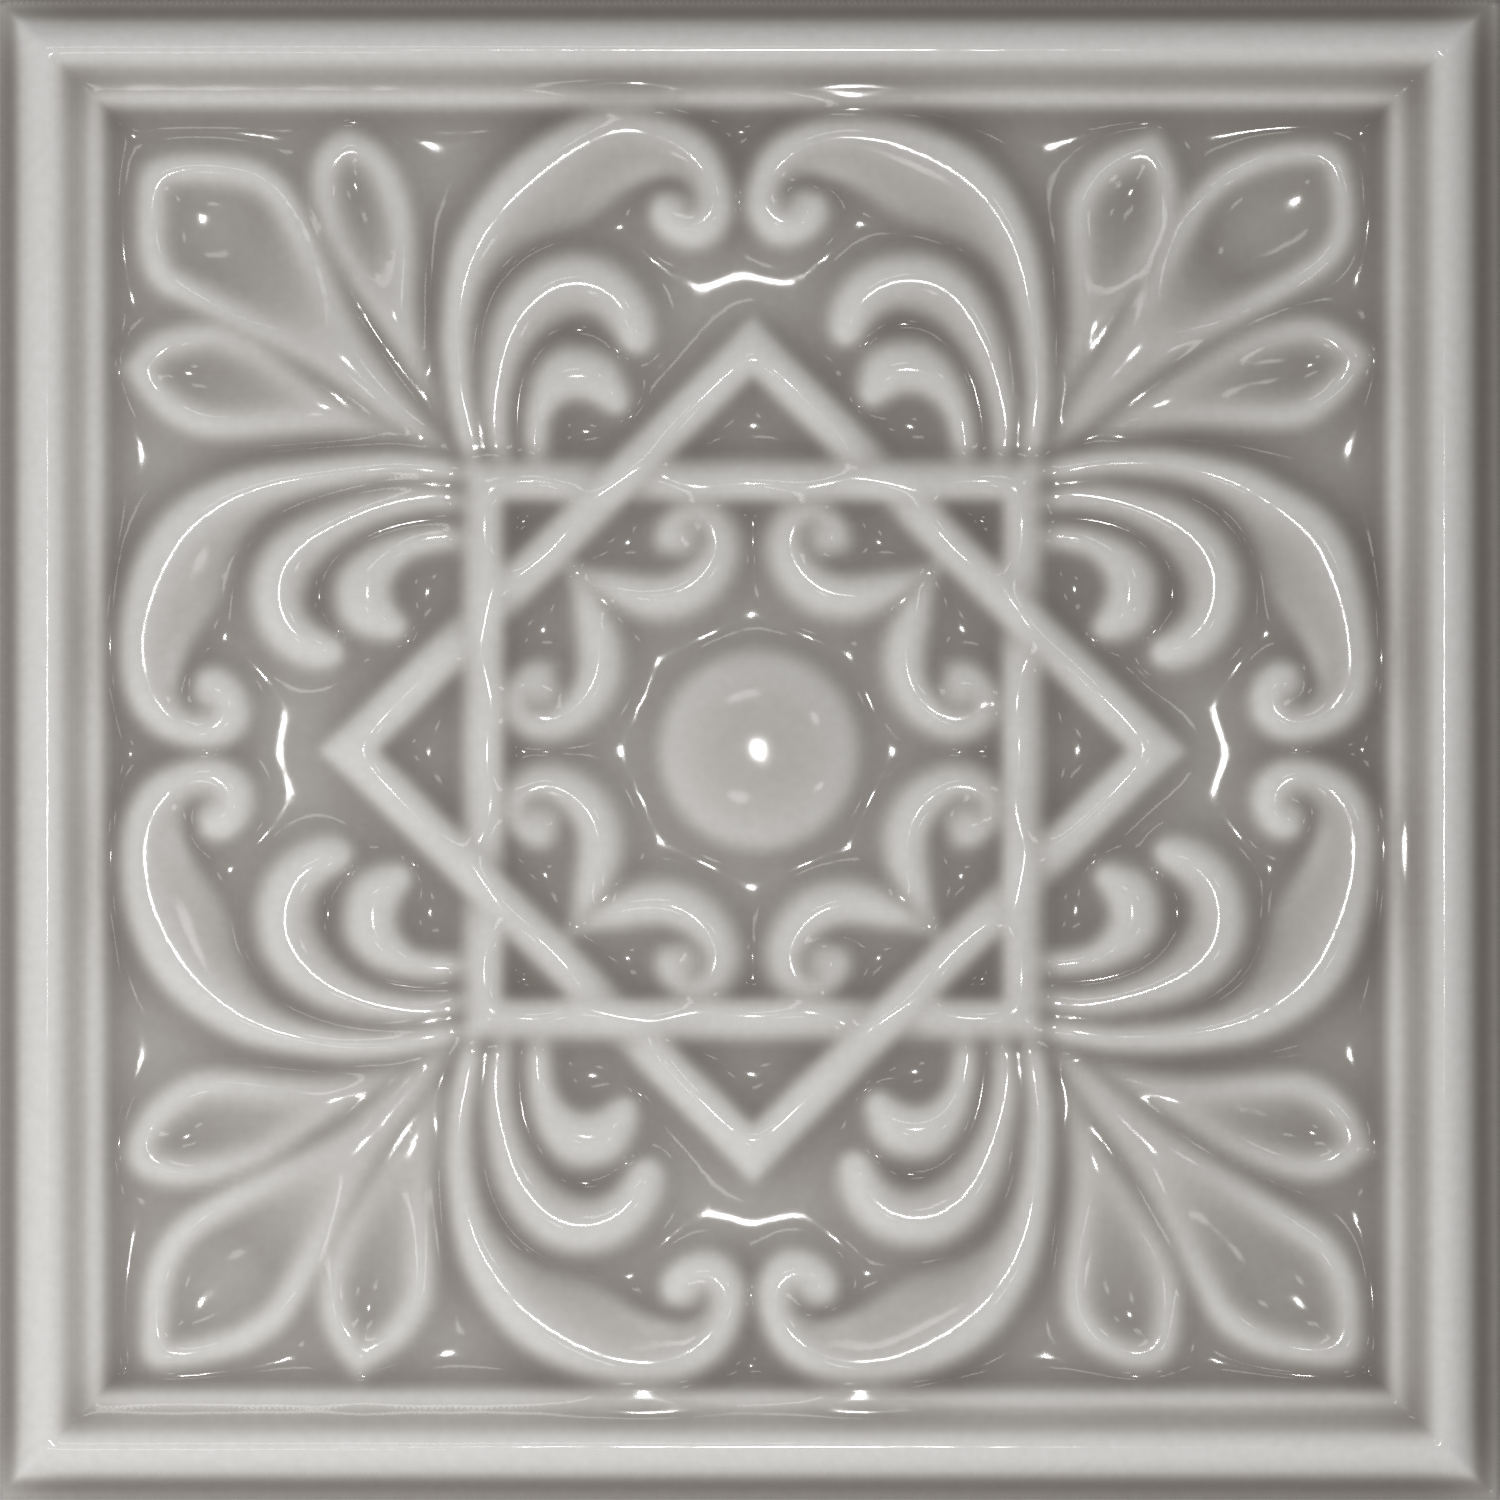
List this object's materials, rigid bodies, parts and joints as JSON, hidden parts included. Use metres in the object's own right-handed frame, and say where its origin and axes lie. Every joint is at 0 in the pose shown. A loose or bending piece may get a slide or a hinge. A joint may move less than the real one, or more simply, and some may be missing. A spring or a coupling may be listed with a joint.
{
  "type": "glazed relief ceramic tile",
  "caption": "Square glazed relief wall tile with a moulded frame round a sunk field of interlaced squares, a centre boss, corner leaf palmettes and scrolls; flat keyed back.",
  "frame": {"origin": "centre of the back face, where the tile meets its bed", "axes": "+Z out of the glazed face, +X to the right and +Y to the top of the pattern as pictured"},
  "size_m": [0.15, 0.15, 0.01],
  "materials": {
    "glaze": "gloss grey translucent glaze over a pale body: light on the raised edges, dark where it pools"
  },
  "bodies": {
    "root": {"tile": "glaze"}
  },
  "joints": []
}
